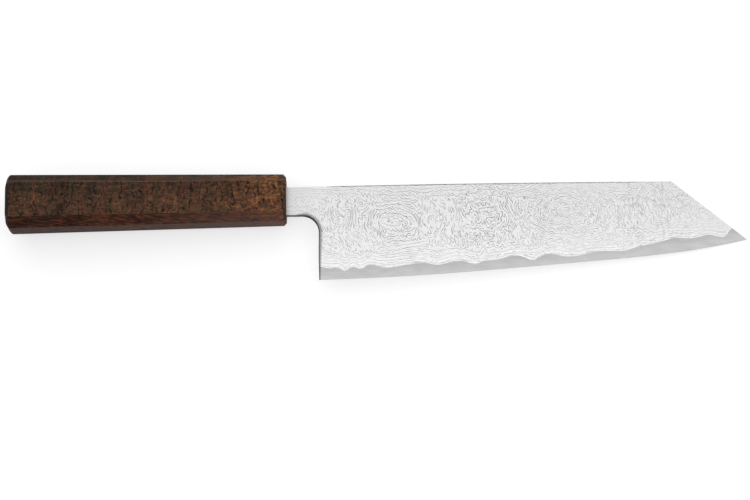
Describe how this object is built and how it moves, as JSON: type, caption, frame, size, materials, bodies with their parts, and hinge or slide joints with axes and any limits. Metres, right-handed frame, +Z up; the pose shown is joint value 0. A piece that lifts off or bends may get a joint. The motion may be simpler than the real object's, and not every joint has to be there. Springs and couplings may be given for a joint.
{
  "type": "kiritsuke kitchen knife",
  "caption": "Laminated kitchen knife with an angled tip, figured steel flanks and a one-piece octagonal hardwood handle, lying on its side.",
  "frame": {"origin": "on the table, under the centre of the knife's bounding box", "axes": "+X from the butt to the tip, +Y from the edge to the spine, +Z up out of the blade's right side; the knife lies on its left side, nose down on its tip"},
  "size_m": [0.3638, 0.0542, 0.026],
  "materials": {
    "core_steel": "fine satin, ground lengthwise",
    "folded_cladding": "etched folded layers, satin",
    "handle_wood": "dark figured hardwood, satin lacquer",
    "dowel_wood": "end grain, sanded",
    "adhesive": "cured adhesive",
    "seal": "black seal, smooth"
  },
  "bodies": {
    "root": {"core_steel": "core_steel", "cladding_right": "folded_cladding", "cladding_left": "folded_cladding", "handle_body": "handle_wood", "dowel_half_right": "dowel_wood", "dowel_half_left": "dowel_wood", "tang_bedding": "adhesive", "neck_seal": "seal"}
  },
  "joints": []
}
